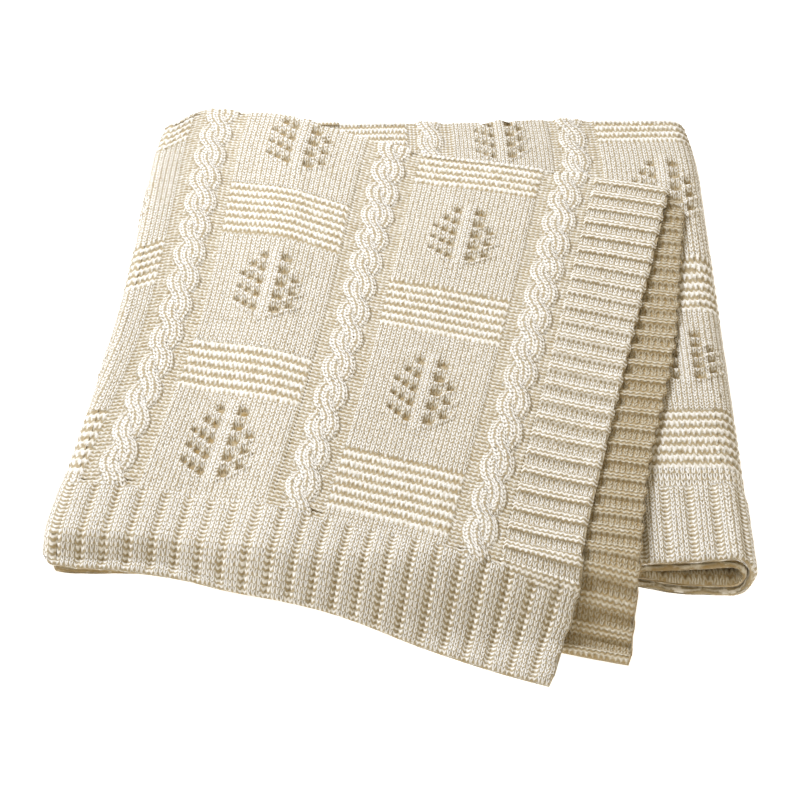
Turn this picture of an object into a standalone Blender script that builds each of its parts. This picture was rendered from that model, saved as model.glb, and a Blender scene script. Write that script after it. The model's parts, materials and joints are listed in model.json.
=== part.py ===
"""A knitted throw blanket folded into a pile: in half across its back edge, then in three like a letter.

Every piece is a closed slab of knitting. Six leaves lie on each other, joined by folded edges:
the base (two leaves), the right flap folded over it (two) and the top flap over both (two).
The top flap turns about the left fold. X runs across the pile, Y towards its back fold, Z up.
"""

import math

import bmesh
import bpy
from mathutils import Vector

# Driving dimensions, in metres
LEAF = 0.0038  # thickness of one leaf of knitting
PITCH = 0.0050  # from the middle of one leaf to the middle of the next
JOIN = 0.0009  # gap between two pieces that are knitted on to each other
RIGHT_LOFT = 0.0092  # how far the springy right fold holds its flap off the base
HEM = 0.054  # depth of the ribbed hems
SIDE_WELT = 0.054  # width of the welted side borders
LEAF_DEPTH = 0.400  # from the back fold to a hem

# Plan of the pile: corners of the leaves, in metres from the middle of the footprint
CENTRE = Vector((0.00267, 0.02748))
LEFT_FOLD_FAR = Vector((-0.165, 0.258)) - CENTRE
LEFT_FOLD_NEAR = Vector((-0.193, -0.134)) - CENTRE
RIGHT_FOLD_FAR = Vector((0.197, 0.258)) - CENTRE
RIGHT_FOLD_NEAR = Vector((0.1825, -0.148)) - CENTRE
RIGHT_FLAP_FAR = Vector((-0.066, 0.262)) - CENTRE
RIGHT_FLAP_NEAR = Vector((-0.062, -0.140)) - CENTRE
TOP_FLAP_FAR = Vector((0.181, 0.164)) - CENTRE
TOP_FACE_NEAR = Vector((0.078, -0.219)) - CENTRE
TOP_LINING_NEAR = Vector((0.123, -0.204)) - CENTRE

LEFT_CORNER = 0.006  # how far the soft far ends of the two side folds draw in
RIGHT_CORNER = 0.010
CORNER_REACH = 0.25  # share of the depth over which they draw in
BACK_BOW = 0.027  # how far the top flap's back edge swells beyond a straight line
BOW_PEAK = 0.2  # share of its width at which it swells most
BOW_START = 0.15  # share of its width over which the swelling sets in
HEM_BOW = 0.008  # how far its hem stays behind a straight line
STEP_UP = 0.060  # width over which the top flap climbs on to the right flap
DROOP = 0.075  # width over which it sinks past the base's hem
HEM_CLEARANCE = 0.004  # how far past the base's hem it starts to sink
FACE_LAG = 0.005  # its upper leaf starts to sink this much further out
FLOOR_GAP = 0.0005  # under the drooping hem
HEM_STEPS = 4
SHORT_STEP = 0.06  # share of the depth over which a leaf's run at its back edge is taken

LOWEST = LEAF / 2
LEFT_AXIS_Z = LOWEST + 1.5 * PITCH
RIGHT_AXIS_Z = LOWEST + (3 * PITCH + RIGHT_LOFT) / 2
OUTER_LEFT, INNER_LEFT = 1.5 * PITCH, 0.5 * PITCH
OUTER_RIGHT = (3 * PITCH + RIGHT_LOFT) / 2
INNER_RIGHT = OUTER_RIGHT - PITCH
BACK_RADIUS = PITCH / 2

CREAM = (0.90, 0.85, 0.73, 1)
SHADES = {"field": 1.0, "hem": 0.93, "welt": 0.96, "fold": 0.98}


def ease(t):
    """0 below 0, 1 above 1, and a smooth rise between."""
    t = min(max(t, 0.0), 1.0)
    return t * t * (3 - 2 * t)


def drawn_in(b, amount):
    """How far a side fold draws in at share b of the depth."""
    return amount * max(0.0, 1 - b / CORNER_REACH) ** 2


def left_axis(b):
    """Plan point of the left fold's axis at share b of the way from the back fold to the hem."""
    return LEFT_FOLD_FAR.lerp(LEFT_FOLD_NEAR, b) + Vector((drawn_in(b, LEFT_CORNER), 0))


def right_axis(b):
    return RIGHT_FOLD_FAR.lerp(RIGHT_FOLD_NEAR, b) - Vector((drawn_in(b, RIGHT_CORNER), 0))


def base_plan(a, b):
    """Share a runs from the left fold to the right fold."""
    return left_axis(b).lerp(right_axis(b), a)


def right_flap_plan(a, b):
    """Share a runs from the right fold to the flap's free edge."""
    return right_axis(b).lerp(RIGHT_FLAP_FAR.lerp(RIGHT_FLAP_NEAR, b), a)


def top_flap_plan(a, b, near_corner):
    """Share a runs from the left fold to the flap's free edge."""
    hump = a / BOW_PEAK * ((1 - a) / (1 - BOW_PEAK)) ** 4
    swell = BACK_BOW * hump * ease(a / BOW_START)
    back = left_axis(0).lerp(TOP_FLAP_FAR, a) + Vector((0, swell))
    hem = left_axis(1).lerp(near_corner, a) + Vector((0, HEM_BOW * math.sin(math.pi * a)))
    drift = Vector((left_axis(b).x - left_axis(0).lerp(left_axis(1), b).x, 0)) * (1 - a)
    return back.lerp(hem, b) + drift


def stack_top(plan):
    """Height of the middle of a leaf that lies on the base and the right flap."""
    share = (plan.x - RIGHT_FLAP_NEAR.x) / (RIGHT_FOLD_FAR.x - RIGHT_FLAP_NEAR.x)
    on_flap = LOWEST + 4 * PITCH + RIGHT_LOFT * min(max(share, 0.0), 1.0)
    climb = ease((plan.x - RIGHT_FLAP_FAR.x + STEP_UP) / STEP_UP)
    return LOWEST + 2 * PITCH + (on_flap - LOWEST - 2 * PITCH) * climb


def past_hem(plan):
    """How far a plan point lies in front of the base's hem."""
    share = (plan.x - LEFT_FOLD_NEAR.x) / (RIGHT_FOLD_NEAR.x - LEFT_FOLD_NEAR.x)
    edge = LEFT_FOLD_NEAR.y + (RIGHT_FOLD_NEAR.y - LEFT_FOLD_NEAR.y) * share
    return edge - HEM_CLEARANCE - plan.y


def base_lower(a, b):
    return base_plan(a, b).to_3d() + Vector((0, 0, LOWEST))


def base_upper(a, b):
    return base_plan(a, b).to_3d() + Vector((0, 0, LOWEST + PITCH))


def right_flap_lower(a, b):
    return right_flap_plan(a, b).to_3d() + Vector((0, 0, LOWEST + 2 * PITCH + RIGHT_LOFT * (1 - a)))


def right_flap_upper(a, b):
    return right_flap_lower(a, b) + Vector((0, 0, PITCH))


def top_flap_lower(a, b):
    plan = top_flap_plan(a, b, TOP_LINING_NEAR)
    sunk = ease(past_hem(plan) / DROOP)
    top = stack_top(plan)
    return plan.to_3d() + Vector((0, 0, top + (LOWEST + FLOOR_GAP - top) * sunk))


def top_flap_upper(a, b):
    plan = top_flap_plan(a, b, TOP_FACE_NEAR)
    sunk = ease((past_hem(plan) - FACE_LAG) / DROOP)
    top = stack_top(plan) + PITCH
    return plan.to_3d() + Vector((0, 0, top + (LOWEST + FLOOR_GAP + PITCH - top) * sunk))


def left_fold(radius):
    """A half round about the left fold's axis: share a runs from the base up to the top flap."""

    def point(a, b):
        turn = math.pi * a
        offset = Vector((-radius * math.sin(turn), 0, LEFT_AXIS_Z - radius * math.cos(turn)))
        return left_axis(b).to_3d() + offset

    return point


def right_fold(radius):
    def point(a, b):
        turn = math.pi * a
        offset = Vector((radius * math.sin(turn), 0, RIGHT_AXIS_Z - radius * math.cos(turn)))
        return right_axis(b).to_3d() + offset

    return point


def back_fold(outer, inner):
    """The edge that joins two leaves at the back: share b runs round it, from the first to the second."""

    def point(a, b):
        first, second = outer(a, 0), inner(a, 0)
        turn = math.pi * b
        middle, half = (first + second) / 2, (first - second) / 2
        onwards = (first - outer(a, SHORT_STEP) + second - inner(a, SHORT_STEP)).normalized()
        return middle + half * math.cos(turn) + onwards * (half.length * math.sin(turn))

    return point


def crowded(t):
    """Steps that crowd towards both ends, so that a fold's ends stand square to its neighbours."""
    return (1 - math.cos(math.pi * t)) / 2


def knitted_slab(name, surface, a_range, b_range, width, depth, steps, kind, bends=""):
    """A slab of knitting over part of a surface, trimmed by half a join all round.

    a_range and b_range are shares of the surface, width and depth its whole size in metres.
    bends names the share that runs round a fold, if the piece is one.
    """
    trim_a, trim_b = JOIN / 2 / width, JOIN / 2 / depth
    low_a, high_a = a_range[0] + trim_a, a_range[1] - trim_a
    low_b, high_b = b_range[0] + trim_b, b_range[1] - trim_b
    bm = bmesh.new()
    bmesh.ops.create_grid(bm, x_segments=steps[0], y_segments=steps[1], size=0.5)
    for vertex in bm.verts:
        step_a, step_b = vertex.co.x + 0.5, vertex.co.y + 0.5
        step_a = crowded(step_a) if bends == "a" else step_a
        step_b = crowded(step_b) if bends == "b" else step_b
        vertex.co = surface(low_a + (high_a - low_a) * step_a, low_b + (high_b - low_b) * step_b)
    mesh = bpy.data.meshes.new(name)
    bm.to_mesh(mesh)
    bm.free()
    mesh.shade_smooth()
    piece = bpy.data.objects.new(name, mesh)
    thickness = piece.modifiers.new("thickness", "SOLIDIFY")
    thickness.thickness = LEAF
    thickness.offset = 0
    mesh.materials.append(knit_material(name, kind))
    return piece


def knit_material(name, kind):
    """Soft cream cotton, a little darker in the ribs and welts than in the field."""
    material = bpy.data.materials.new(name + "_knit")
    material.use_nodes = True
    shader = material.node_tree.nodes["Principled BSDF"]
    shade = SHADES[kind]
    shader.inputs["Base Color"].default_value = [c * shade for c in CREAM[:3]] + [1]
    shader.inputs["Roughness"].default_value = 0.95
    shader.inputs["Metallic"].default_value = 0.0
    return material


def leaf_pieces(prefix, surface, width, welted, steps):
    """A leaf's field and ribbed hem, and its welted border where it has a free side edge.

    The border starts at the whole step across that is nearest to its width, so that seams meet.
    """
    across, along = steps
    border_steps = round(SIDE_WELT / width * across) if welted else 0
    field_steps = across - border_steps
    field_end = field_steps / across
    hem_start = 1 - HEM / LEAF_DEPTH
    size = (width, LEAF_DEPTH)
    pieces = [
        knitted_slab(prefix + "_leaf", surface, (0, field_end), (0, hem_start), *size, (field_steps, along), "field"),
        knitted_slab(prefix + "_hem", surface, (0, 1), (hem_start, 1), *size, (across, HEM_STEPS), "hem"),
    ]
    if welted:
        border = (field_end, 1), (0, hem_start)
        steps = (border_steps, along)
        pieces.append(knitted_slab(prefix + "_side_welt", surface, *border, *size, steps, "welt"))
    return pieces


def back_fold_piece(name, outer, inner, width, steps):
    turn_length = math.pi * BACK_RADIUS
    surface = back_fold(outer, inner)
    return knitted_slab(name, surface, (0, 1), (0, 1), width, turn_length, (steps, 8), "fold", "b")


def side_fold_piece(name, surface, radius, steps):
    return knitted_slab(name, surface, (0, 1), (0, 1), math.pi * radius, LEAF_DEPTH, steps, "fold", "a")


def clear_scene():
    for item in list(bpy.data.objects):
        bpy.data.objects.remove(item)


def base_and_right_flap():
    """What lies still: the base, the right fold and the right flap."""
    base_width = (RIGHT_FOLD_FAR - LEFT_FOLD_FAR).length
    flap_width = (RIGHT_FOLD_FAR - RIGHT_FLAP_FAR).length
    outer, inner = right_fold(OUTER_RIGHT), right_fold(INNER_RIGHT)
    return [
        *leaf_pieces("base_lower", base_lower, base_width, False, (4, 6)),
        *leaf_pieces("base_upper", base_upper, base_width, False, (4, 6)),
        back_fold_piece("base_back_fold", base_lower, base_upper, base_width, 4),
        side_fold_piece("right_fold_outer", outer, OUTER_RIGHT, (10, 10)),
        side_fold_piece("right_fold_inner", inner, INNER_RIGHT, (10, 10)),
        back_fold_piece("right_fold_back_corner", outer, inner, math.pi * INNER_RIGHT, 10),
        *leaf_pieces("right_flap_upper", right_flap_upper, flap_width, True, (5, 6)),
        *leaf_pieces("right_flap_lower", right_flap_lower, flap_width, True, (5, 6)),
        back_fold_piece("right_flap_back_fold", right_flap_upper, right_flap_lower, flap_width, 5),
    ]


def left_fold_pieces():
    """The hinge of the pile: it bends as the top flap is turned back."""
    outer, inner = left_fold(OUTER_LEFT), left_fold(INNER_LEFT)
    return [
        side_fold_piece("left_fold_outer", outer, OUTER_LEFT, (8, 10)),
        side_fold_piece("left_fold_inner", inner, INNER_LEFT, (6, 10)),
        back_fold_piece("left_fold_back_corner", outer, inner, math.pi * INNER_LEFT, 8),
    ]


def top_flap():
    width = (TOP_FLAP_FAR - LEFT_FOLD_FAR).length
    return [
        *leaf_pieces("top_flap_upper", top_flap_upper, width, True, (20, 20)),
        *leaf_pieces("top_flap_lower", top_flap_lower, width, True, (20, 20)),
        back_fold_piece("top_flap_back_fold", top_flap_upper, top_flap_lower, width, 20),
    ]


def hinge_axis():
    """An empty half way along the left fold, its Z along the hinge towards the hem."""
    axis = (LEFT_FOLD_NEAR - LEFT_FOLD_FAR).to_3d()
    hinge = bpy.data.objects.new("top_flap_hinge", None)
    hinge.empty_display_size = 0.05
    hinge.rotation_mode = "QUATERNION"
    hinge.rotation_quaternion = axis.to_track_quat("Z", "Y")
    hinge.location = LEFT_FOLD_FAR.lerp(LEFT_FOLD_NEAR, 0.5).to_3d() + Vector((0, 0, LEFT_AXIS_Z))
    return hinge


def main():
    clear_scene()
    collection = bpy.data.collections.new("folded_throw_blanket")
    bpy.context.scene.collection.children.link(collection)
    hinge = hinge_axis()
    collection.objects.link(hinge)
    for piece in base_and_right_flap() + left_fold_pieces():
        collection.objects.link(piece)
    bpy.context.view_layer.update()
    for piece in top_flap():
        collection.objects.link(piece)
        piece.parent = hinge
        piece.matrix_parent_inverse = hinge.matrix_world.inverted()


main()
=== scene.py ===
"""The looks of a folded, knitted throw: cables, lace leaves, garter bands, ribbed hems and welted borders.

The throw is one sheet of knitting, counted in stitches across and rows along. Every piece is a stretch of that
sheet: a closed slab whose two faces carry the stitches as real relief, folded through the rest of the pile by
the same few curves as the model it is built round.
"""

import json
import math

import bmesh
import bpy
import numpy as np
from bpy.props import FloatProperty, IntProperty, PointerProperty, StringProperty
from mathutils import Matrix, Vector


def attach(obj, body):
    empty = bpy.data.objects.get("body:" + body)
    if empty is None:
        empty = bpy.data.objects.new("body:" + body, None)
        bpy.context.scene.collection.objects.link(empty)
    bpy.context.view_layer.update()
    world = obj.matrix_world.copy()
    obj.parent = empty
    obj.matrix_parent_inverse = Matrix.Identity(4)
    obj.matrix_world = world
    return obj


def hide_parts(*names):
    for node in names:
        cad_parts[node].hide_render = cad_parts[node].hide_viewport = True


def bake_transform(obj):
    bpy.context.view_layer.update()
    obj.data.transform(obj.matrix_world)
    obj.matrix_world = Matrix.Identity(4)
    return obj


bl_info = {
    "name": "Folded knitted throw",
    "version": (1, 0, 0),
    "blender": (4, 5, 0),
    "location": "View3D > Sidebar > Throw",
    "description": "A cream cotton throw with cables and lace leaves, folded into a pile",
    "category": "Add Mesh",
}

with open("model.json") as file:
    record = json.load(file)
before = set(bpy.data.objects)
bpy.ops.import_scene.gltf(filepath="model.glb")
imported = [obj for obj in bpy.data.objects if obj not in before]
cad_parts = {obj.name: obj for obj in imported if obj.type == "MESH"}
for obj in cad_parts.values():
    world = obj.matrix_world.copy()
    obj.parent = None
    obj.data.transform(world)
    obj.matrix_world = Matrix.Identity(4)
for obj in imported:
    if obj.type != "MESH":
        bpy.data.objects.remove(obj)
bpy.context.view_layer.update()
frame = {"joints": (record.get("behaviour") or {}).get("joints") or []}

MM = 0.001
STITCH_WIDTH = 0.0032
ROW_HEIGHT = 0.0029

# The sheet's own grid: stitches from the top flap's free edge, rows from a hem
STITCHES = 332
ROWS = 138  # from a hem to the back fold
TOP_STITCHES = 105  # on the top flap
OUTER_LEFT_STITCHES = 7  # round the left fold
INNER_LEFT_STITCHES = 3
RIGHT_FLAP_STITCHES = 80
OUTER_RIGHT_STITCHES = 11
INNER_RIGHT_STITCHES = 7
BACK_FOLD_ROWS = 3.4

# Where the top flap is cut into pieces, in stitches from its free edge and rows from its hem
FACE_BORDER = 15
FACE_SPLIT = 62
LINING_BORDER = 24
FACE_HEM = 19.0

# The pattern, in the same units
HEM_ROWS = 17.6
RIB_STITCHES = 4.5  # three knit and two purl, drawn in
BORDER_STITCHES = 14.5
HIDDEN_BORDER_STITCHES = 8
WELT_ROWS = 4.95
FIRST_CABLE = 19.5  # stitch at the middle of the first cable
CABLE_STEP = 36  # stitches from one cable to the next
LAST_CABLE = FIRST_CABLE + 8 * CABLE_STEP
LAST_PATTERN_STITCH = 338.8
CABLE_ROWS = 8.7  # rows from one crossing to the next
GUTTER_HALF = 5.7  # stitches from a cable's middle to the outside of its gutter
RIDGE_ROWS = 2.5  # rows to one garter ridge
BAND_ROWS = {0: ((20.7, 37.9), (75.5, 91.0), (127.5, 146)), 1: ((45.3, 59.7), (94.2, 112.4))}
LEAF_ROWS = {0: (57.8, 110.4), 1: (32.4, 79.3, 131.0)}
LEAF_LEVEL_ROWS = 4.2
LEAF_REACH = 10  # stitches from a lace leaf's spine within which it is worked
LEAF_SPAN = 14  # rows, likewise
# Each hole of a lace leaf's level: stitches to the right of the spine, rows up, half width, half height, first level
LEAF_HOLES = (
    (-2.1, 0.0, 0.72, 0.98, 0),
    (-4.0, 1.0, 0.62, 0.85, 1),
    (-5.7, 1.9, 0.50, 0.70, 2),
    (2.6, 0.0, 0.95, 1.05, 0),
    (5.3, 2.1, 0.80, 0.72, 2),
)

# Each kind of knitting: height of its ground and relief of its stitches in millimetres, and depth of its painted
# shade
STOCKING = 1.45, 0.45, 0.06
GARTER = 0.75, 1.5, 0.02
GUTTER = 0.3, 1.1, 0.16
CABLE_GROUND, CABLE_RELIEF = 0.7, 0.75
WELT_GROUND, WELT_RELIEF = 0.55, 0.45
RIB_GROUND, RIB_RELIEF = 0.45, 0.5
CAST_OFF_HEIGHT = 1.6
HALF_LEAF = 1.9  # millimetres from a leaf's middle to its plain surface
EDGE_ROUNDING = 2.4  # millimetres over which the throw's own edges thin out
WELT_MIDDLE, WELT_HALF = 0.68, 0.33  # as shares of one welt and the valley before it
KNIT, PURL = 0.0, 1.0

# A knit stitch's slanting legs and a purl stitch's wavy bar, as shares of the stitch they are in
LEG_FOOT, LEG_SLANT, LEG_HALF = 0.07, 0.24, 0.22
LEG_END, LEG_SWELL = 0.62, 0.38
BAR_WAVE, BAR_HALF = 0.15, 0.38
BAR_HEIGHT, BAR_BEAD = 0.80, 0.20
STRAND_SWING, STRAND_HALF = 1.35, 2.25  # a cable strand, in stitches

# The pile's plan, in metres in the frame of the model
CENTRE = np.array((0.00267, 0.02748))
LEFT_FOLD_FAR = np.array((-0.165, 0.258)) - CENTRE
LEFT_FOLD_NEAR = np.array((-0.193, -0.134)) - CENTRE
RIGHT_FOLD_FAR = np.array((0.197, 0.254)) - CENTRE
RIGHT_FOLD_NEAR = np.array((0.1825, -0.148)) - CENTRE
RIGHT_FLAP_FAR = np.array((-0.066, 0.262)) - CENTRE
RIGHT_FLAP_NEAR = np.array((-0.062, -0.140)) - CENTRE
TOP_FLAP_FAR = np.array((0.181, 0.164)) - CENTRE
TOP_FACE_NEAR = np.array((0.079, -0.2225)) - CENTRE
TOP_LINING_NEAR = np.array((0.1230, -0.2050)) - CENTRE
LEFT_CORNER = 0.002  # how far the folds draw in at their far corners
RIGHT_CORNER = 0.005
CORNER_REACH = 0.16  # share of a fold's length over which they do
LEFT_BOW = 0.0060
BACK_BOW = 0.030  # of the top flap's back edge, near the left fold
HEM_BOW = 0.0090
HEM_CORNER = 0.004
LINING_BULGE = 0.0115  # how far the lining shows past the top flap's free edge
STEP_UP = 0.060  # plan distance in which the top flap climbs on to the right flap
LEFT_DROOP = 0.015  # plan distance in which its hem comes down to the floor
RIGHT_DROOP = 0.048
HEM_CLEARANCE = 0.002
FACE_LAG = 0.004  # how much later the face comes down than its lining
FLOOR_GAP = 0.0005
TUCK = 0.018  # how far the base's hem stays back under the top flap
OVERHANG = 0.007  # how far it comes forward under the right fold
HEM_PUFF = 0.0030  # how far the inner leaf stands off the outer at the right fold's near end
SAG = 0.0060  # of the right flap's near end, between the fold and the top flap
PITCH = 0.0050  # height from one leaf's middle to the next
LOWEST = 0.0019  # height of the lowest leaf's middle
RIGHT_LOFT = 0.0092  # what the right fold adds under the right flap
OUTER_RIGHT = (3 * PITCH + RIGHT_LOFT) / 2
BORDER_SWELL = 0.004  # of the top flap's free edge, just behind its hem
TUCKED_TURN = 0.2  # radians of a back edge that lie inside each leaf it joins
BACK_BEVEL = 1.6  # gathers the rows of faces towards a hem

# The yarn's look
INNER_PAINTED_SHADE = 0.42  # painted shade: the inner leaf's colour goes further into the warm shade colours, as it lies in shade between leaves
WANDER_SCALE, WANDER_ACROSS, WANDER_ALONG = 420.0, 0.45, 0.55
FIBRE_SCALE, FIBRE_RELIEF = 2600.0, 0.25
MOTTLE_SCALE, MOTTLE_DEPTH = 330.0, 0.3
KNIT_GAP_SHADE, PURL_GAP_SHADE = 0.72, 0.04  # depth of painted shade in the gaps between a knit stitch's legs, and what purl adds
# Where the colour ramp turns from the lit yarn to the painted shade between stitches and the deeper painted shade in
# holes
LIT_DEPTH, HOLLOW_DEPTH, DEEP_DEPTH = 0.10, 0.52, 1.0

# The stage
FLOOR_HALF, FLOOR_DROP, FLOOR_GLOW = 6, 0.0004, 0.75
KEY_PLACE, KEY_SIZE, KEY_POWER = (-0.9, 0.85, 1.5), 0.7, 42
SURROUND_STRENGTH = 0.55
CAMERA_AWAY = 0.7457  # behind the pile's middle and above the floor
CAMERA_TILT = 45  # degrees
FOCAL_LENGTH, SENSOR_WIDTH = 76.5, 36

OUTER, INNER = "outer", "inner"
STATIONS = {
    OUTER: np.cumsum(
        (
            0,
            TOP_STITCHES,
            OUTER_LEFT_STITCHES,
            STITCHES - TOP_STITCHES - OUTER_LEFT_STITCHES - OUTER_RIGHT_STITCHES - RIGHT_FLAP_STITCHES,
            OUTER_RIGHT_STITCHES,
            RIGHT_FLAP_STITCHES,
        )
    ),
    INNER: np.cumsum(
        (
            0,
            TOP_STITCHES,
            INNER_LEFT_STITCHES,
            STITCHES - TOP_STITCHES - INNER_LEFT_STITCHES - INNER_RIGHT_STITCHES - RIGHT_FLAP_STITCHES,
            INNER_RIGHT_STITCHES,
            RIGHT_FLAP_STITCHES,
        )
    ),
}


class ThrowSizes(bpy.types.PropertyGroup):
    stitch_width: FloatProperty(
        name="Stitch width", description="Across one knitted stitch", default=STITCH_WIDTH, unit="LENGTH", precision=4
    )
    row_height: FloatProperty(
        name="Row height", description="Along one knitted row", default=ROW_HEIGHT, unit="LENGTH", precision=4
    )
    cable_height: FloatProperty(
        name="Cable height", description="How far a cable stands out", default=0.0026, unit="LENGTH", precision=4
    )
    rib_height: FloatProperty(
        name="Rib height", description="From valley to top of the hem's ribs",
        default=0.0021, unit="LENGTH", precision=4
    )
    welt_height: FloatProperty(
        name="Welt height", description="From valley to top of a border welt",
        default=0.0023, unit="LENGTH", precision=4
    )
    eyelet_depth: FloatProperty(
        name="Eyelet depth", description="Depth of the lace holes", default=0.0020, unit="LENGTH", precision=4
    )
    fineness: IntProperty(
        name="Fineness", description="Faces along one stitch where the knitting is seen closely",
        default=4, min=1, max=6
    )


class ThrowColours(bpy.types.PropertyGroup):
    yarn: StringProperty(name="Yarn", description="Cream cotton in the light, as sRGB hex", default="FFFCF6")
    # The hollows and deep hollows colours are painted shade: the yarn darker and warmer where shade falls between its
    # stitches and deep in a hole
    painted_shade: StringProperty(name="Hollows", description="The yarn between stitches, as sRGB hex", default="CAC0A8")
    deep: StringProperty(name="Deep hollows", description="The yarn deep in a hole, as sRGB hex", default="9C7E42")
    backdrop: StringProperty(name="Backdrop", description="The lit floor, as sRGB hex", default="FFFFFF")
    daylight: StringProperty(name="Daylight", description="The key light, as sRGB hex", default="EAF1FF")
    surround: StringProperty(name="Surround", description="The warm room around it, as sRGB hex", default="FFF1D6")


def linear(hex_colour):
    """An sRGB hex colour as linear red, green, blue and alpha."""
    channels = [int(hex_colour[i : i + 2], 16) / 255 for i in (0, 2, 4)]
    return [c / 12.92 if c <= 0.04045 else ((c + 0.055) / 1.055) ** 2.4 for c in channels] + [1.0]


# ---------------------------------------------------------------- curves of the folded pile


def ease(t):
    t = np.clip(t, 0.0, 1.0)
    return t * t * (3 - 2 * t)


def along(start, end, share):
    """Plan points part of the way from start to end, one for each share."""
    return start + (end - start) * share[:, None]


def shifted_x(plan, offset):
    moved = plan.copy()
    moved[:, 0] += offset
    return moved


def drawn_in(b, amount):
    return amount * np.clip(1 - b / CORNER_REACH, 0, None) ** 2


def left_axis(b):
    bow = LEFT_BOW * np.sin(np.pi * np.clip((b - 0.08) / 0.86, 0, 1))
    return shifted_x(along(LEFT_FOLD_FAR, LEFT_FOLD_NEAR, b), drawn_in(b, LEFT_CORNER) + bow)


def right_axis(b):
    return shifted_x(along(RIGHT_FOLD_FAR, RIGHT_FOLD_NEAR, b), -drawn_in(b, RIGHT_CORNER))


def with_height(plan, z):
    return np.column_stack((plan, np.broadcast_to(z, len(plan))))


def hem_shift(x, b):
    """How far the base's hem lies behind the straight line between its corners."""
    tucked = TUCK * (1 - ease((x + 0.150) / 0.11))
    return (tucked - OVERHANG * ease((x - 0.112) / 0.045)) * ease((b - 0.6) / 0.4)


def base_place(share, b, leaf):
    plan = along(left_axis(b), right_axis(b), share)
    plan[:, 1] += hem_shift(plan[:, 0], b)
    puffed = HEM_PUFF * ease((b - 0.88) / 0.12) * ease((plan[:, 0] - 0.080) / 0.04)
    return with_height(plan, LOWEST + (0 if leaf == OUTER else PITCH + puffed))


def right_flap_place(share, b, leaf):
    plan = along(right_axis(b), along(RIGHT_FLAP_FAR, RIGHT_FLAP_NEAR, b), share)
    lift = LOWEST + 2 * PITCH + RIGHT_LOFT * (1 - share)
    lift = lift - SAG * ease((b - 0.75) / 0.25) * np.sin(np.pi * np.clip(0.18 + share, 0, 1)) ** 2
    puffed = HEM_PUFF * ease((b - 0.88) / 0.12)
    return with_height(plan, lift + (PITCH if leaf == OUTER else -puffed / 2))


def round_fold(low, high, turn, reach):
    """Points on a fold between its two ends, reach away from them at the widest."""
    up = (1 - np.cos(turn)) / 2
    points = low + (high - low) * up[:, None]
    points[:, 0] += reach * np.sin(turn)
    return points


def left_fold_place(share, b, leaf):
    low, high = base_place(np.zeros_like(b), b, leaf), top_flap_place(np.ones_like(b), b, leaf)
    return round_fold(low, high, np.pi * (1 - share), -PITCH * (1.5 if leaf == OUTER else 0.5))


def right_fold_place(share, b, leaf):
    low, high = base_place(np.ones_like(b), b, leaf), right_flap_place(np.zeros_like(b), b, leaf)
    return round_fold(low, high, np.pi * share, OUTER_RIGHT - (0 if leaf == OUTER else PITCH))


def stack_top(x):
    """Height of the middle of a leaf that lies on the base and the right flap."""
    share = (x - RIGHT_FLAP_NEAR[0]) / (RIGHT_FOLD_FAR[0] - RIGHT_FLAP_NEAR[0])
    on_flap = LOWEST + 4 * PITCH + RIGHT_LOFT * np.clip(share, 0, 1)
    climb = ease((x - RIGHT_FLAP_FAR[0] + STEP_UP) / STEP_UP)
    low = LOWEST + 2 * PITCH
    return low + (on_flap - low) * climb


def past_hem(x, y):
    """How far a point lies in front of the base's hem."""
    share = (x - LEFT_FOLD_NEAR[0]) / (RIGHT_FOLD_NEAR[0] - LEFT_FOLD_NEAR[0])
    edge = LEFT_FOLD_NEAR[1] + (RIGHT_FOLD_NEAR[1] - LEFT_FOLD_NEAR[1]) * share
    return edge + np.maximum(hem_shift(x, np.ones_like(x)), 0) - HEM_CLEARANCE - y


def top_flap_place(share, b, leaf):
    """share runs from the free edge to the left fold."""
    a = 1 - share
    near_corner = TOP_FACE_NEAR if leaf == OUTER else TOP_LINING_NEAR
    ends = np.zeros(1), np.ones(1)
    back = along(left_axis(ends[0])[0], TOP_FLAP_FAR, a)
    back[:, 1] += BACK_BOW * ease((a + 0.03) / 0.10) * (1 - ease((a - 0.12) / 0.45))
    hem = along(left_axis(ends[1])[0], near_corner, a)
    hem[:, 1] += HEM_BOW * ease(a / 0.3) * (1 - 0.8 * ease((a - 0.55) / 0.4)) - HEM_CORNER * (1 - ease(a / 0.14))
    straight = along(left_axis(ends[0])[0], left_axis(ends[1])[0], b)
    plan = shifted_x(along(back, hem, b), (left_axis(b)[:, 0] - straight[:, 0]) * (1 - a))
    near_edge = np.clip(1 - share / 0.3, 0, 1) ** 2
    if leaf == OUTER:
        plan[:, 0] += BORDER_SWELL * near_edge * np.exp(-(((b - 0.87) / 0.06) ** 2))
    else:
        plan[:, 0] += LINING_BULGE * near_edge * ease((0.75 - b) / 0.4) * (1 - 0.8 * ease((0.05 - b) / 0.05))
    x, y = plan.T
    lag, rise = (FACE_LAG, PITCH) if leaf == OUTER else (0, 0)
    top = stack_top(x) + rise
    low = LOWEST + FLOOR_GAP + rise
    droop = LEFT_DROOP + (RIGHT_DROOP - LEFT_DROOP) * ease((x + 0.150) / 0.15)
    sunk = ease((past_hem(x, y) - lag) / droop)
    return with_height(plan, top + (low - top) * sunk)


PLACES = (top_flap_place, left_fold_place, base_place, right_fold_place, right_flap_place)


def leaf_middle(u, b, leaf):
    """Middle of a leaf. The whole part of u says which stretch of the pile, the rest how far across it."""
    stretch = np.clip(np.floor(u), 0, len(PLACES) - 1).astype(int)
    points = np.empty((len(u), 3))
    for number, place in enumerate(PLACES):
        here = stretch == number
        if here.any():
            points[here] = place(u[here] - number, b[here], leaf)
    return points


def soft_sway(points):
    """Slow waves of a millimetre or so, which soft knitting keeps when it is laid down."""
    x, y, z = points.T
    lift = 0.9 * np.sin(23 * x + 9 * y + 0.6) * np.sin(17 * y - 6 * x + 1.9)
    lift += 0.45 * np.sin(61 * x - 28 * y + 2.2) + 0.35 * np.sin(52 * y + 33 * x + 4.0)
    free = ease((z - 0.004) / 0.016)
    return lift * MM * free


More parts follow.
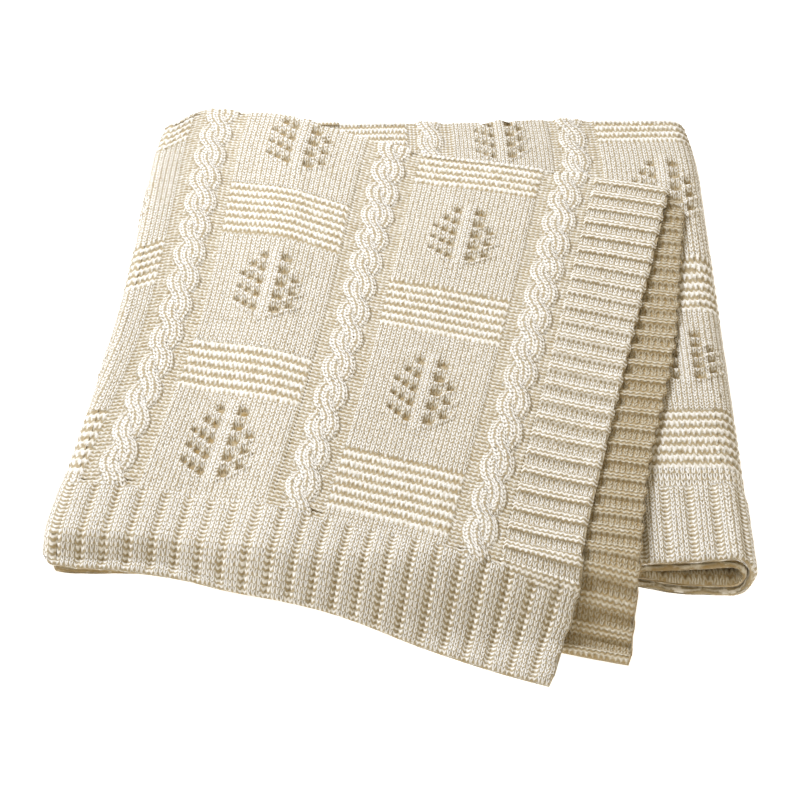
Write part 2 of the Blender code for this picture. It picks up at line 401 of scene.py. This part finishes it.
def leaf_shell(c, r, leaf, across_normal=0.3):
    """Middle points of a leaf at stitch c and row r, and the way its face looks."""
    stations = STATIONS[leaf]

    def middle(stitch, row):
        u = np.interp(stitch, stations, np.arange(len(stations)))
        beyond = np.minimum(stitch, 0) / TOP_STITCHES
        return leaf_middle(u + beyond, 1 - row / ROWS, leaf)

    step = across_normal
    rightwards = middle(np.minimum(c + step, STITCHES), r) - middle(c - step, r)
    onwards = middle(c, np.minimum(r + step, ROWS)) - middle(c, np.maximum(r - step, 0))
    normal = np.cross(onwards, rightwards)
    normal /= np.maximum(np.linalg.norm(normal, axis=1), 1e-12)[:, None]
    points = middle(c, r)
    points[:, 2] += soft_sway(points)
    return points, normal if leaf == OUTER else -normal


# ---------------------------------------------------------------- stitches, in millimetres above the middle


def part_of(value):
    return value - np.floor(value)


def inside(value, low, high, soft=0.5):
    """1 between two limits and 0 outside, with soft edges."""
    return np.clip((value - low) / soft + 0.5, 0, 1) * np.clip((high - value) / soft + 0.5, 0, 1)


def mix(first, second, share):
    return first + (second - first) * share


def stitch_chance(c, r, seed):
    """A fixed chance value, from -1 to 1, for each stitch."""
    mixed = np.sin(np.floor(c) * 12.9898 + np.floor(r) * 78.233 + seed * 37.719) * 43758.5453
    return 2 * part_of(mixed) - 1


def pattern_stitch(c, r):
    """Where the pattern's columns run on the sheet's grid, which they cross at a slight slant."""
    last_top_cable = 94.6 + 2.8 * ease((75 - r) / 60)
    top = np.interp(c, (0, 19.7, 56.3), (0, FIRST_CABLE, FIRST_CABLE + CABLE_STEP)) + np.minimum(c, 0)
    top += np.maximum(c - 56.3, 0) * CABLE_STEP / (last_top_cable - 56.3)
    right = np.interp(c, (118, 252, 274.3, 305.2, STITCHES), (115, 249.2, 271.5, 307.5, LAST_PATTERN_STITCH))
    return mix(top, right, ease((c - 106) / 12))


def pattern_row(c, r):
    """Where the pattern's rows run, which the right flap has pulled a little towards its hem."""
    pulled = 8.6 * np.exp(-(((r - 72) / 24) ** 2)) - 2
    return r + pulled * ease((c - 225) / 16) * ease((r - HEM_ROWS) / 6)


def knit_vee(u, v):
    """The two slanting legs of a knit stitch: 1 on a leg, 0 between."""
    up = part_of(v)
    leg = LEG_FOOT + LEG_SLANT * up
    across = np.abs(part_of(u) - 0.5)
    return np.clip(1 - ((across - leg) / LEG_HALF) ** 2, 0, 1) * (LEG_END + LEG_SWELL * np.sin(np.pi * up))


def purl_bar(u, v):
    """The wavy, beaded bar that a purl stitch shows: 1 on the bar, 0 between."""
    wave = np.cos(2 * np.pi * u)
    off = np.abs(part_of(v - BAR_WAVE * wave) - 0.5)
    return np.clip(1 - (off / BAR_HALF) ** 2, 0, 1) * (BAR_HEIGHT - BAR_BEAD * wave)


def rope(x, r):
    """A two-strand cable: height from 0 to 1, and the column of stitches that is in front there."""
    turn = np.pi * (r - 20) / CABLE_ROWS
    height, column = np.zeros_like(x), np.zeros_like(x)
    for strand in (0, np.pi):
        swing = np.sin(turn + strand)
        centre = STRAND_SWING * np.sign(swing) * np.abs(swing) ** 0.75
        across = (x - centre) / STRAND_HALF
        body = np.clip(1 - across**2, 0, 1)
        strand_height = np.where(body > 0, 0.30 * np.cos(turn + strand) + 0.70 * body**0.55, 0)
        higher = strand_height > height
        height = np.where(higher, strand_height, height)
        column = np.where(higher, 0.5 + 1.5 * across, column)
    return height, column


def lace_leaf(across, up):
    """Holes, raised branches and loose knitting of one lace leaf, about its middle, to the right and up the rows."""
    hole, cord, loose = np.zeros_like(across), np.zeros_like(across), np.zeros_like(across)
    for level in range(5):
        base = LEAF_LEVEL_ROWS * (2 - level)
        for x, y, wide, tall, first in LEAF_HOLES:
            if level >= first:
                distance = ((across - x) / wide) ** 2 + ((up - base - y) / tall) ** 2
                hole = np.maximum(hole, 1 / (1 + distance**3))
                loose = np.maximum(loose, 1 / (1 + (distance / 3.2) ** 3))
        for side in (-1, 1):
            reach = min(3.4 + 1.6 * level, 7.4 if side > 0 else 6.6)
            run = np.clip((side * across - 1.0) / 6, 0, 1.2)
            sweep = base - 2.1 + run * (2.0 + (2.4 if side > 0 else 1.6) * run)
            on_cord = np.clip(1.2 - ((up - sweep) / 0.9) ** 2, 0, 1)
            cord = np.maximum(cord, on_cord * inside(side * across, 1.2, reach, 1.2))
    cord = np.maximum(cord, inside(across, -0.7, 1.5, 0.8) * inside(up, -12, 11, 2))
    return hole, cord * (1 - hole), loose * (1 - cord)


def knit_surface(c, r, side, ribbed, sizes):
    """What the knitting shows at a place on the sheet's grid.

    side is 1 for the right side and -1 for the wrong side, and ribbed is false where the welts run on through the
    hem. Gives the height from the leaf's middle in millimetres, how much painted shade the place's colour takes,
    how far its stitches are purl, and the column and row of its stitches.
    """
    p, row = pattern_stitch(c, r), pattern_row(c, r)
    u, v = p.copy(), row.copy()
    purl = np.full_like(p, KNIT if side > 0 else PURL)
    ground, stitch_relief, painted_shade = (np.full_like(p, value) for value in STOCKING)

    def lay(mask, height, relief, shade, kind, column, line):
        """Lays one kind of knitting over what is there, inside a soft-edged mask."""
        nonlocal ground, stitch_relief, painted_shade, purl, u, v
        ground, stitch_relief = mix(ground, height, mask), mix(stitch_relief, relief, mask)
        painted_shade = mix(painted_shade, shade, mask)
        here = mask > 0.5
        purl, u, v = np.where(here, kind, purl), np.where(here, column, u), np.where(here, line, v)

    # Garter bands, which alternate from one block to the next
    block = np.floor((p - FIRST_CABLE) / CABLE_STEP)
    garter = np.zeros_like(p)
    for parity, bands in BAND_ROWS.items():
        for low, high in bands:
            garter += inside(row, low, high) * (np.mod(block, 2) == parity)
    lay(garter, *GARTER, PURL, p, row / RIDGE_ROWS)

    # A lace leaf in each full panel
    middle_stitch = FIRST_CABLE + CABLE_STEP * (block + 0.5)
    holes, cords, loose = np.zeros_like(p), np.zeros_like(p), np.zeros_like(p)
    for parity, rows in LEAF_ROWS.items():
        for middle_row in rows:
            near = (np.mod(block, 2) == parity) & (p > FIRST_CABLE) & (p < LAST_CABLE)
            near &= (np.abs(row - middle_row) < LEAF_SPAN) & (np.abs(p - middle_stitch) < LEAF_REACH)
            if near.any():
                leaf = lace_leaf(middle_stitch[near] - p[near], row[near] - middle_row)
                holes[near], cords[near], loose[near] = leaf
    ground += 1.2 * cords - 0.4 * loose
    # Painted shade in the loose knitting round the holes, and a painted highlight on the raised cords
    painted_shade = painted_shade * (1 - cords) + 0.10 * loose - 0.04 * cords

    # Cables between ladder-like purl gutters
    x = p - FIRST_CABLE - CABLE_STEP * np.round((p - FIRST_CABLE) / CABLE_STEP)
    lay(inside(np.abs(x), -1, GUTTER_HALF, 0.8), *GUTTER, PURL, p, row)
    twist, column = rope(x, row)
    strand = np.clip(twist / 0.25, 0, 1)
    # Painted shade, deeper low on the cable's strands and between them, and a faint painted highlight on their tops
    shade = 0.30 * np.clip(0.7 - twist, 0, 1) - 0.03
    lay(strand, CABLE_GROUND + sizes.cable_height / MM * twist, CABLE_RELIEF, shade, KNIT, column, row)

    # Welted side borders
    far_border = inside(LAST_PATTERN_STITCH - p, -9, HIDDEN_BORDER_STITCHES)
    border = np.maximum(inside(p, -9, BORDER_STITCHES, 0.4), far_border)
    phase = part_of(row / WELT_ROWS + (0.0 if side > 0 else 0.5))
    welt = ease((WELT_HALF - np.abs(phase - WELT_MIDDLE)) / 0.14)
    # Painted shade in the valleys between welts, and a painted highlight on the welts
    shade = mix(0.04 + 0.30 * np.clip(phase, 0, 0.35), -0.06, welt)
    kind = np.where(welt > 0.5, PURL, KNIT)
    lay(border, WELT_GROUND + sizes.welt_height / MM * welt, WELT_RELIEF, shade, kind, p, row)

    # Ribbed hems with a cast-off edge
    rib_column = (p - FIRST_CABLE) * 5 / RIB_STITCHES
    from_rib = np.abs(part_of(rib_column / 5 + 0.5) - 0.5) * 5
    rise = 1 - (from_rib / 2.3) ** 2 if side > 0 else (from_rib - 0.6) / 1.9
    rib = np.sqrt(np.clip(rise, 0, 1))
    uneven = 0.8 * stitch_chance(rib_column / 5 + 0.5, np.zeros_like(p), 3)
    hem = ease((HEM_ROWS + uneven - row) / 2.5 + 0.5) * ribbed
    kind = np.where((from_rib < 1.5) == (side > 0), KNIT, PURL)
    # Painted shade in the valleys between ribs, and a painted highlight on the ribs
    shade = mix(0.10, -0.04, np.clip(rib / 0.7, 0, 1))
    lay(hem, RIB_GROUND + sizes.rib_height / MM * rib, RIB_RELIEF, shade, kind, rib_column + 0.5, row)
    ground = mix(ground, np.maximum(ground, CAST_OFF_HEIGHT), inside(r, -5, 0.9, 1.2))

    stitch = mix(knit_vee(u, v), purl_bar(u, v), purl)
    height = ground + stitch_relief * stitch * (1 - holes) - sizes.eyelet_depth / MM * holes
    height += 0.10 * stitch_chance(p, row, 1)
    # Painted shade in the lace holes, and a little tone that differs at random from stitch to stitch
    painted_shade = mix(painted_shade, 0.72, holes) + 0.05 * stitch_chance(p, row, 2)
    return height, painted_shade, purl, np.column_stack((u, v))


# ---------------------------------------------------------------- pieces


def flat_slab(face_steps, back_steps):
    """A closed slab over the unit square: its face at z = 1 and its back at z = -1, each with its own fineness."""
    bm = bmesh.new()
    middle = Vector((0.5, 0.5, 0))
    steps = {"x_segments": face_steps[0], "y_segments": face_steps[1]}
    bmesh.ops.create_grid(bm, size=0.5, matrix=Matrix.Translation(middle + Vector((0, 0, 1))), **steps)
    steps = {"x_segments": back_steps[0], "y_segments": back_steps[1]}
    back = bmesh.ops.create_grid(bm, size=0.5, matrix=Matrix.Translation(middle - Vector((0, 0, 1))), **steps)
    bmesh.ops.reverse_faces(bm, faces=list({face for vertex in back["verts"] for face in vertex.link_faces}))
    rim = [edge for edge in bm.edges if edge.is_boundary]
    for edge in rim:
        edge.smooth = False
    bmesh.ops.bridge_loops(bm, edges=rim)
    for face in bm.faces:
        face.smooth = True
    return bm


def coordinates(mesh):
    flat = np.empty(len(mesh.vertices) * 3)
    mesh.vertices.foreach_get("co", flat)
    return flat.reshape(-1, 3)


def finish_mesh(bm, name, points, painted_shade, purl, stitch_uv):
    """The bmesh as an object with its final points, and what its yarn material reads."""
    mesh = bpy.data.meshes.new(name)
    bm.to_mesh(mesh)
    bm.free()
    mesh.vertices.foreach_set("co", points.astype(np.float32).ravel())
    for attribute, values in (("painted_shade", painted_shade), ("purl", purl)):
        mesh.attributes.new(attribute, "FLOAT", "POINT").data.foreach_set("value", values.astype(np.float32))
    corners = np.empty(len(mesh.loops), np.int32)
    mesh.loops.foreach_get("vertex_index", corners)
    starts, counts = np.empty(len(mesh.polygons), np.int32), np.empty(len(mesh.polygons), np.int32)
    mesh.polygons.foreach_get("loop_start", starts)
    mesh.polygons.foreach_get("loop_total", counts)
    corner_uv = stitch_uv[corners]
    first_uv = np.repeat(corner_uv[starts], counts, axis=0)
    corner_uv -= np.round(corner_uv - first_uv)  # whole stitches are alike, so no face spans more than half of one
    uv = mesh.uv_layers.new(name="stitches")
    uv.data.foreach_set("uv", corner_uv.astype(np.float32).ravel())
    mesh.update()
    piece = bpy.data.objects.new(name, mesh)
    bpy.context.scene.collection.objects.link(piece)
    return piece


def edge_thinning(c, r):
    """Rounds the throw's own edges, where the slab thins out."""
    from_side = np.minimum(c, STITCHES - c) * (STITCH_WIDTH / MM)
    from_hem = r * (ROW_HEIGHT / MM)
    nearest = np.clip(np.minimum(from_side, from_hem) / EDGE_ROUNDING, 0, 1)
    return 0.3 + 0.7 * np.sqrt(1 - (1 - nearest) ** 2)


def flat_points(bm):
    probe = bpy.data.meshes.new("probe")
    bm.to_mesh(probe)
    flat = coordinates(probe)
    bpy.data.meshes.remove(probe)
    return flat


def surface_on(c, r, face, ribbed):
    """knit_surface on the right side for the points of the face, and on the wrong side for the others."""
    sizes = bpy.context.scene.throw_sizes
    height, painted_shade, purl, uv = np.empty(len(c)), np.empty(len(c)), np.empty(len(c)), np.empty((len(c), 2))
    for side, here in ((1, face), (-1, ~face)):
        height[here], painted_shade[here], purl[here], uv[here] = knit_surface(c[here], r[here], side, ribbed, sizes)
    return height, painted_shade, purl, uv


def knit_piece(name, leaf, columns, rows, face_fine, back_fine, relief=(1.0, 0.6), ribbed=True):
    """A closed piece of one leaf, between two stitches and two rows.

    The fineness of a side is its faces along a stitch and a row, and relief how much of its height a face and a
    back keep where they are pressed between other leaves.
    """
    across, up = columns[1] - columns[0], rows[1] - rows[0]

    def steps(fine):
        return max(2, round(across * fine[0])), max(2, round(up * fine[1]))

    bm = flat_slab(steps(face_fine), steps(back_fine))
    flat = flat_points(bm)
    face = flat[:, 2] > 0
    if rows[0] == 0 and back_fine[1] < 1:
        flat[~face, 1] **= BACK_BEVEL
    c = columns[0] + across * flat[:, 0]
    r = rows[0] + up * flat[:, 1]
    height, painted_shade, purl, uv = surface_on(c, r, face, ribbed)
    # Painted shade: the inner leaf's colour goes further into the warm shade colours
    painted_shade += 0 if leaf == OUTER else INNER_PAINTED_SHADE
    scallop = ease((WELT_HALF - np.abs(part_of(r / WELT_ROWS) - WELT_MIDDLE)) / 0.2) - 0.5
    c = c - 0.5 * scallop * np.clip(1 - c / 3, 0, 1)
    points, normal = leaf_shell(c, r, leaf)
    height = mix(HALF_LEAF, height, np.where(face, *relief)) * edge_thinning(np.maximum(c, 0), r)
    points += normal * (np.where(face, 1, -1) * height * MM)[:, None]
    points[:, 2] = np.maximum(points[:, 2], 0.0)
    return finish_mesh(bm, name, points, painted_shade, purl, uv)


def back_fold_piece(name, stretches, steps_per_stitch):
    """The folded edge that joins the two leaves at the back, over some stretches of the pile."""
    stations = STATIONS[OUTER]
    first, last = stations[stretches[0]], stations[stretches[1]]
    bm = flat_slab((max(4, round((last - first) * steps_per_stitch)), 16), (max(4, last - first), 8))
    flat = flat_points(bm)
    c = first + (last - first) * flat[:, 0]
    share = flat[:, 1]
    u = np.interp(c, stations, np.arange(len(stations)))
    face = flat[:, 2] > 0

    def place(u_here, turn):
        at_back, before = np.zeros_like(u_here), np.full_like(u_here, 0.02)
        outer, inner = (leaf_middle(u_here, at_back, leaf) for leaf in (OUTER, INNER))
        run = outer - leaf_middle(u_here, before, OUTER) + inner - leaf_middle(u_here, before, INNER)
        run /= np.maximum(np.linalg.norm(run, axis=1), 1e-9)[:, None]
        outer[:, 2] += soft_sway(outer)
        inner[:, 2] += soft_sway(inner)
        half = (outer - inner) / 2
        reach = np.linalg.norm(half, axis=1)[:, None]
        return (outer + inner) / 2 + half * np.cos(turn)[:, None] + run * reach * np.sin(turn)[:, None]

    turn = (np.pi + 2 * TUCKED_TURN) * share - TUCKED_TURN
    small = 0.01
    normal = np.cross(
        place(u, turn + small) - place(u, turn - small), place(u + small / 5, turn) - place(u - small / 5, turn)
    )
    normal /= np.maximum(np.linalg.norm(normal, axis=1), 1e-12)[:, None]
    r = ROWS + share * 2.7
    height, painted_shade, purl, uv = surface_on(c, r, face, True)
    height = np.where(face, height, np.minimum(height, HALF_LEAF)) * edge_thinning(c, r)
    points = place(u, turn) + normal * (np.where(face, 1, -1) * height * MM)[:, None]
    points[:, 2] = np.maximum(points[:, 2], 0.0)
    return finish_mesh(bm, name, points, painted_shade, purl, uv)


def cotton_yarn(name="cream_cotton_yarn"):
    """Soft-spun cotton, knitted: matt, with a faint bloom of loose fibres and warm painted shade in the hollows
    between its stitches.
    """
    found = bpy.data.materials.get(name)
    if found:
        return found
    colours = bpy.context.scene.throw_colours
    material = bpy.data.materials.new(name)
    material.use_nodes = True
    tree = material.node_tree
    shader = tree.nodes["Principled BSDF"]
    shader.inputs["Roughness"].default_value = 0.9
    shader.inputs["Sheen Weight"].default_value = 0.15
    shader.inputs["Sheen Roughness"].default_value = 0.6
    shader.inputs["Specular IOR Level"].default_value = 0.2

    def add(kind, settings=(), inputs=()):
        """Adds a node with its settings, and gives each input a value or another node's output."""
        node = tree.nodes.new("ShaderNode" + kind)
        for key, value in dict(settings).items():
            setattr(node, key, value)
        for socket, value in dict(inputs).items():
            if isinstance(value, bpy.types.NodeSocket):
                tree.links.new(value, node.inputs[socket])
            else:
                node.inputs[socket].default_value = value
        return node

    def maths(operation, *inputs, clamp=False):
        return add("Math", {"operation": operation, "use_clamp": clamp}, enumerate(inputs)).outputs[0]

    painted_shade = add("Attribute", {"attribute_name": "painted_shade"}).outputs["Fac"]
    purl = add("Attribute", {"attribute_name": "purl"}).outputs["Fac"]
    place = add("TexCoord").outputs["Object"]
    stitch_map = add("SeparateXYZ", (), {0: add("UVMap", {"uv_map": "stitches"}).outputs[0]})
    noise = add("TexNoise", (), {"Vector": place, "Scale": WANDER_SCALE, "Detail": 1.0})
    wander = add("SeparateXYZ", (), {0: noise.outputs["Color"]})
    u = maths("MULTIPLY_ADD", maths("SUBTRACT", wander.outputs[0], 0.5), WANDER_ACROSS, stitch_map.outputs[0])
    v = maths("MULTIPLY_ADD", maths("SUBTRACT", wander.outputs[1], 0.5), WANDER_ALONG, stitch_map.outputs[1])

    # One knit stitch shows two slanting legs of yarn, 1.4 mm thick
    up = maths("FRACT", v)
    across = maths("ABSOLUTE", maths("SUBTRACT", maths("FRACT", u), 0.5))
    leg = maths("DIVIDE", maths("SUBTRACT", across, maths("MULTIPLY_ADD", up, LEG_SLANT, LEG_FOOT)), LEG_HALF)
    vee = maths("SUBTRACT", 1.0, maths("MULTIPLY", leg, leg), clamp=True)
    swell = maths("SINE", maths("MULTIPLY", up, math.pi))
    vee = maths("MULTIPLY", vee, maths("MULTIPLY_ADD", swell, LEG_SWELL, LEG_END))
    # One purl stitch shows a wavy bar of it
    wave = maths("COSINE", maths("MULTIPLY", u, 2 * math.pi))
    off = maths("ABSOLUTE", maths("SUBTRACT", maths("FRACT", maths("MULTIPLY_ADD", wave, -BAR_WAVE, v)), 0.5))
    off = maths("DIVIDE", off, BAR_HALF)
    bar = maths("SUBTRACT", 1.0, maths("MULTIPLY", off, off), clamp=True)
    bar = maths("MULTIPLY", bar, maths("MULTIPLY_ADD", wave, -BAR_BEAD, BAR_HEIGHT))
    stitch = add("Mix", {"data_type": "FLOAT"}, {0: purl, 2: vee, 3: bar}).outputs[0]

    # Fibres 0.4 mm apart, and a mottle of 3 mm where the yarn is spun unevenly
    fibre = add("TexNoise", (), {"Vector": place, "Scale": FIBRE_SCALE, "Detail": 3.0}).outputs["Fac"]
    mottle = add("TexNoise", (), {"Vector": place, "Scale": MOTTLE_SCALE, "Detail": 2.0}).outputs["Fac"]
    # Painted shade: the colour runs from the lit yarn towards the warm shade colours in the gaps between a stitch's
    # legs and as deep as the painted shade attribute says, with the mottle on top
    gap_shade = maths("MULTIPLY", maths("SUBTRACT", 1.0, stitch), maths("MULTIPLY_ADD", purl, PURL_GAP_SHADE, KNIT_GAP_SHADE))
    depth = maths("MULTIPLY_ADD", gap_shade, maths("SUBTRACT", 1.0, painted_shade), painted_shade)
    depth = maths("MULTIPLY_ADD", maths("SUBTRACT", mottle, 0.5), MOTTLE_DEPTH, depth, clamp=True)
    ramp = add("ValToRGB", (), {0: depth})
    stops = ramp.color_ramp.elements
    stops[0].position, stops[0].color = LIT_DEPTH, linear(colours.yarn)
    stops[1].position, stops[1].color = DEEP_DEPTH, linear(colours.deep)
    middle = stops.new(HOLLOW_DEPTH)
    middle.color = linear(colours.painted_shade)
    tree.links.new(ramp.outputs[0], shader.inputs["Base Color"])
    relief = maths("MULTIPLY_ADD", fibre, FIBRE_RELIEF, stitch)
    bump = add("Bump", (), {"Strength": 0.8, "Distance": 0.0009, "Height": relief})
    tree.links.new(bump.outputs[0], shader.inputs["Normal"])
    return material


def settle(piece, nodes, flat_stitches, slot, body="root"):
    """Gives a piece its yarn and its place in the frame, and hides the model's parts that it stands for."""
    sizes = bpy.context.scene.throw_sizes
    piece.data.materials.append(cotton_yarn())
    if body:
        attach(piece, body)
    else:
        hinge = frame["joints"][0]
        axis, pos = Vector(hinge["axis"]), Vector(hinge["pos_m"])
        upwards = Vector((0, 0, 1))
        outwards = upwards.cross(axis).normalized()
        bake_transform(piece)
    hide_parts(*nodes)
    width, length = flat_stitches[0] * sizes.stitch_width, flat_stitches[1] * sizes.row_height
    max(width, 0.01)
    max(length, 0.01)
    return piece


class THROW_OT_top_flap(bpy.types.Operator):
    """Knits the top flap: its face in four pieces, its lining and its folded back edge"""

    bl_idname = "throw.top_flap"
    bl_label = "Top flap"

    def execute(self, context):
        fine = context.scene.throw_sizes.fineness
        seen, closest, unseen = (fine, fine), (fine + 1, fine + 1), (1, 0.5)
        field, edge, right = (FACE_HEM, ROWS), (0, FACE_BORDER), (FACE_BORDER, FACE_SPLIT)
        left, whole = (FACE_SPLIT, TOP_STITCHES), (0, TOP_STITCHES)
        face = (
            ("top_flap_face_border", edge, field, ["top_flap_upper_side_welt"], "knit_welt", closest),
            ("top_flap_face_right", right, field, ["top_flap_upper_leaf"], "knit_field", seen),
            ("top_flap_face_left", left, field, ["top_flap_upper_leaf"], "knit_field", seen),
            ("top_flap_face_hem", whole, (0, FACE_HEM), ["top_flap_upper_hem"], "knit_rib", closest),
        )
        for name, columns, rows, nodes, slot, fineness in face:
            piece = knit_piece(name, OUTER, columns, rows, fineness, unseen)
            size = columns[1] - columns[0], rows[1] - rows[0]
            settle(piece, nodes, size, slot, "top_flap")
        pressed, shown = (2, 1.5), (0.6, 1.0)
        edge, rest = (0, LINING_BORDER), (LINING_BORDER, TOP_STITCHES)
        border = knit_piece("top_flap_lining_border", INNER, edge, (0, ROWS), pressed, seen, shown, ribbed=False)
        nodes = ["top_flap_lower_side_welt", "top_flap_lower_hem"]
        settle(border, nodes, (LINING_BORDER, ROWS), "knit_welt", "top_flap")
        lining = knit_piece("top_flap_lining", INNER, rest, (0, ROWS), pressed, unseen)
        nodes = ["top_flap_lower_leaf", "top_flap_lower_hem"]
        settle(lining, nodes, (TOP_STITCHES - LINING_BORDER, ROWS), "knit_field", "top_flap")
        fold = back_fold_piece("top_flap_back_edge", (0, 1), fine)
        size = TOP_STITCHES, BACK_FOLD_ROWS
        settle(fold, ["top_flap_back_fold"], size, "knit_field", "top_flap")
        return {"FINISHED"}


class THROW_OT_left_fold(bpy.types.Operator):
    """Knits the left fold: its face, its lining and its folded back edge"""

    bl_idname = "throw.left_fold"
    bl_label = "Left fold"

    def execute(self, context):
        fine = context.scene.throw_sizes.fineness
        for name, leaf, node, fineness in (
            ("left_fold_face", OUTER, "left_fold_outer", (fine, fine)),
            ("left_fold_lining", INNER, "left_fold_inner", (3, 1)),
        ):
            stations = STATIONS[leaf]
            piece = knit_piece(name, leaf, (stations[1], stations[2]), (0, ROWS), fineness, (2, 0.5), (0.8, 0.5))
            settle(piece, [node], (stations[2] - stations[1], ROWS), "knit_field", None)
        corner = back_fold_piece("left_fold_back_edge", (1, 2), 3)
        size = OUTER_LEFT_STITCHES, BACK_FOLD_ROWS
        settle(corner, ["left_fold_back_corner"], size, "knit_field", None)
        return {"FINISHED"}


class THROW_OT_base(bpy.types.Operator):
    """Knits the base: the leaf the pile lies on and the leaf above it"""

    bl_idname = "throw.base"
    bl_label = "Base"

    def execute(self, context):
        for name, leaf, part in (
            ("base_underside", OUTER, "base_lower"),
            ("base_lining", INNER, "base_upper"),
        ):
            stations = STATIONS[leaf]
            piece = knit_piece(name, leaf, (stations[2], stations[3]), (0, ROWS), (2, 1.5), (1, 0.5), (0.8, 0.6))
            nodes = [part + "_leaf", part + "_hem"]
            settle(piece, nodes, (stations[3] - stations[2], ROWS), "knit_field")
        fold = back_fold_piece("base_back_edge", (2, 3), 2)
        width = STATIONS[OUTER][3] - STATIONS[OUTER][2]
        settle(fold, ["base_back_fold"], (width, BACK_FOLD_ROWS), "knit_field")
        return {"FINISHED"}


class THROW_OT_right_flap(bpy.types.Operator):
    """Knits the right fold and the right flap"""

    bl_idname = "throw.right_flap"
    bl_label = "Right flap"

    def execute(self, context):
        fine = context.scene.throw_sizes.fineness
        outer, inner = STATIONS[OUTER], STATIONS[INNER]
        middle = outer[4] + RIGHT_FLAP_STITCHES // 2
        for name, leaf, columns, nodes, face_fine in (
            ("right_fold_face", OUTER, (outer[3], outer[4]), ["right_fold_outer"], (fine, fine)),
            ("right_fold_lining", INNER, (inner[3], inner[4]), ["right_fold_inner"], (2, 1.5)),
            ("right_flap_face", OUTER, (outer[4], middle), ["right_flap_upper_leaf"], (fine, fine - 1)),
            (
                "right_flap_face_border",
                OUTER,
                (middle, outer[5]),
                ["right_flap_upper_side_welt", "right_flap_upper_hem"],
                (3, 2),
            ),
            (
                "right_flap_lining",
                INNER,
                (inner[4], inner[5]),
                ["right_flap_lower_leaf", "right_flap_lower_side_welt", "right_flap_lower_hem"],
                (2, 1),
            ),
        ):
            relief = (1.0, 0.6) if leaf == OUTER else (0.6, 0.6)
            piece = knit_piece(name, leaf, columns, (0, ROWS), face_fine, (1, 0.5), relief)
            settle(piece, nodes, (columns[1] - columns[0], ROWS), "knit_field")
        corner = back_fold_piece("right_fold_back_edge", (3, 4), 3)
        settle(corner, ["right_fold_back_corner"], (OUTER_RIGHT_STITCHES, BACK_FOLD_ROWS), "knit_field")
        fold = back_fold_piece("right_flap_back_edge", (4, 5), fine)
        settle(fold, ["right_flap_back_fold"], (RIGHT_FLAP_STITCHES, BACK_FOLD_ROWS), "knit_field")
        return {"FINISHED"}


class THROW_OT_stage(bpy.types.Operator):
    """Sets a plain pale floor, soft studio light and the camera"""

    bl_idname = "throw.stage"
    bl_label = "Stage"

    def execute(self, context):
        scene = context.scene
        white = linear(scene.throw_colours.backdrop)
        bm = bmesh.new()
        bmesh.ops.create_grid(bm, x_segments=1, y_segments=1, size=FLOOR_HALF)
        mesh = bpy.data.meshes.new("floor")
        bm.to_mesh(mesh)
        bm.free()
        floor = bpy.data.objects.new("floor", mesh)
        scene.collection.objects.link(floor)
        floor.location.z = -FLOOR_DROP
        # A matt white sheet lit from beneath, so the throw stands on plain white
        acrylic = bpy.data.materials.new("backlit_white_acrylic")
        acrylic.use_nodes = True
        shader = acrylic.node_tree.nodes["Principled BSDF"]
        shader.inputs["Base Color"].default_value = white
        shader.inputs["Roughness"].default_value = 0.95
        shader.inputs["Emission Color"].default_value = white
        shader.inputs["Emission Strength"].default_value = FLOOR_GLOW
        mesh.materials.append(acrylic)

        world = bpy.data.worlds.new("studio")
        world.use_nodes = True
        background = world.node_tree.nodes["Background"]
        background.inputs["Color"].default_value = linear(scene.throw_colours.surround)
        background.inputs["Strength"].default_value = SURROUND_STRENGTH
        scene.world = world
        scene.view_settings.view_transform = "Standard"  # the floor's white stays white

        lamp = bpy.data.lights.new("key", "AREA")
        lamp.size = KEY_SIZE
        lamp.energy = KEY_POWER
        lamp.color = linear(scene.throw_colours.daylight)[:3]
        light = bpy.data.objects.new("key", lamp)
        light.location = KEY_PLACE
        light.rotation_euler = (-light.location).to_track_quat("-Z", "Y").to_euler()
        scene.collection.objects.link(light)

        lens = bpy.data.cameras.new("camera")
        lens.lens = FOCAL_LENGTH
        lens.sensor_width = SENSOR_WIDTH
        camera = bpy.data.objects.new("camera", lens)
        camera.location = (-CENTRE[0], -CAMERA_AWAY - CENTRE[1], CAMERA_AWAY)
        camera.rotation_euler = (math.radians(CAMERA_TILT), 0, 0)
        scene.collection.objects.link(camera)
        scene.camera = camera
        return {"FINISHED"}


class THROW_PT_panel(bpy.types.Panel):
    """Lists the throw's sizes, colours and pieces"""

    bl_label = "Throw"
    bl_idname = "THROW_PT_panel"
    bl_space_type = "VIEW_3D"
    bl_region_type = "UI"
    bl_category = "Throw"

    def draw(self, context):
        for group in (context.scene.throw_sizes, context.scene.throw_colours):
            for name in group.__annotations__:
                self.layout.prop(group, name)
        for operator in OPERATORS:
            self.layout.operator(operator.bl_idname)


OPERATORS = (THROW_OT_stage, THROW_OT_base, THROW_OT_right_flap, THROW_OT_left_fold, THROW_OT_top_flap)
CLASSES = (ThrowSizes, ThrowColours, *OPERATORS, THROW_PT_panel)


def register():
    for item in CLASSES:
        bpy.utils.register_class(item)
    bpy.types.Scene.throw_sizes = PointerProperty(type=ThrowSizes)
    bpy.types.Scene.throw_colours = PointerProperty(type=ThrowColours)


def unregister():
    del bpy.types.Scene.throw_colours
    del bpy.types.Scene.throw_sizes
    for item in reversed(CLASSES):
        bpy.utils.unregister_class(item)


def main():
    register()
    bpy.ops.throw.stage()
    bpy.ops.throw.base()
    bpy.ops.throw.right_flap()
    bpy.ops.throw.left_fold()
    bpy.ops.throw.top_flap()


if __name__ == "__main__":
    main()
